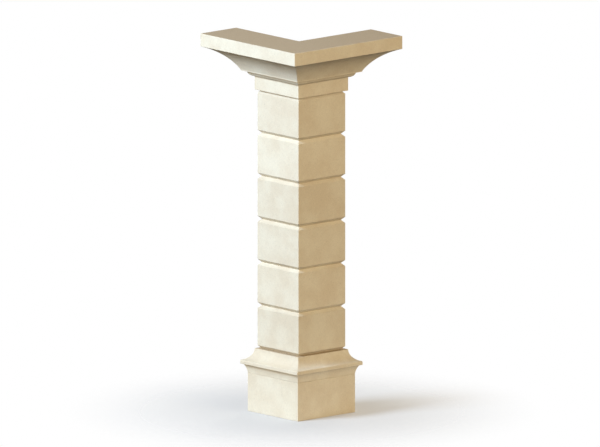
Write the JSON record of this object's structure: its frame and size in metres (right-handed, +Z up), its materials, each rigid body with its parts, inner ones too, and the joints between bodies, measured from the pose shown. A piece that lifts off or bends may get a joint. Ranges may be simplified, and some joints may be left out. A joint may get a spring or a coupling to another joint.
{
  "type": "corner quoin",
  "caption": "L-shaped corner quoin of cast stone: plinth, moulded base, V-jointed blocks, neck band and deep coved cornice, with every profile returned round both free ends.",
  "frame": {"origin": "on the ground, straight below the vertical outer corner of the blocks, which is inside the plinth's footprint", "axes": "+Z up; one face of the quoin looks along -Y and the other along +X, the arms run to -X and +Y, and the wall fills the inside of the L"},
  "size_m": [1.034, 1.034, 2.7697],
  "materials": {
    "cast_stone": "matte, fine sand grain, light buff"
  },
  "bodies": {
    "root": {"plinth": "cast_stone", "base_moulding": "cast_stone", "quoin_block_1": "cast_stone", "quoin_block_2": "cast_stone", "quoin_block_3": "cast_stone", "quoin_block_4": "cast_stone", "quoin_block_5": "cast_stone", "quoin_block_6": "cast_stone", "neck_band": "cast_stone", "cornice": "cast_stone"}
  },
  "joints": []
}
